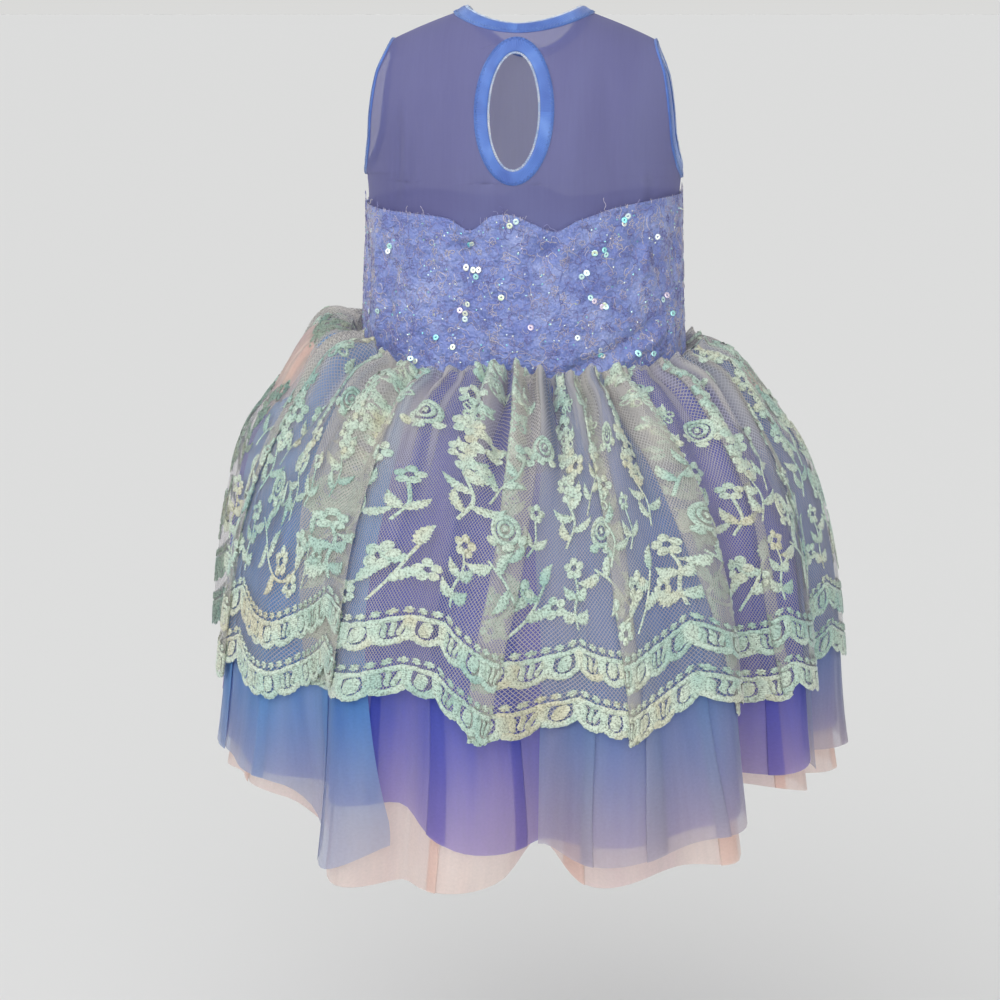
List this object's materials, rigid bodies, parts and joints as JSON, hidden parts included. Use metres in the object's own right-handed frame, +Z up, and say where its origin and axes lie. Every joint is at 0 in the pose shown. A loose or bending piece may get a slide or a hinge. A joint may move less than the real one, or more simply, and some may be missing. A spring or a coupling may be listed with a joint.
{
  "type": "dance costume",
  "caption": "Child's sleeveless dance costume with sheer keyhole yoke, sequinned bodice and full gathered skirt of tulle under a scalloped lace overskirt.",
  "frame": {"origin": "midway between the two shoulder points, on the shoulder seams that the wearer holds up", "axes": "+Z up, -Y out of the keyhole side, +X to the right of someone who looks at the keyhole side"},
  "size_m": [0.4751, 0.5268, 0.5635],
  "materials": {
    "mesh": "sheer stretch mesh, matt",
    "binding": "satin fold-over elastic with picot edge",
    "bodice": "satin under corded lace with ring sequins",
    "lace": "net embroidered in shiny sage thread",
    "tulle_sky": "soft sheer tulle",
    "tulle_periwinkle": "soft sheer tulle",
    "tulle_blush": "soft sheer tulle"
  },
  "bodies": {
    "root": {"yoke_front": "mesh", "yoke_back": "mesh", "keyhole_binding": "binding", "neck_binding": "binding", "armhole_binding_left": "binding", "armhole_binding_right": "binding", "bodice_front": "bodice", "bodice_back": "bodice", "lace_overskirt": "lace", "tulle_sky_left": "tulle_sky", "tulle_sky_right": "tulle_sky", "tulle_sky_right_side": "tulle_sky", "tulle_sky_back_right": "tulle_sky", "tulle_sky_back_left": "tulle_sky", "tulle_periwinkle": "tulle_periwinkle", "tulle_blush": "tulle_blush"}
  },
  "joints": []
}
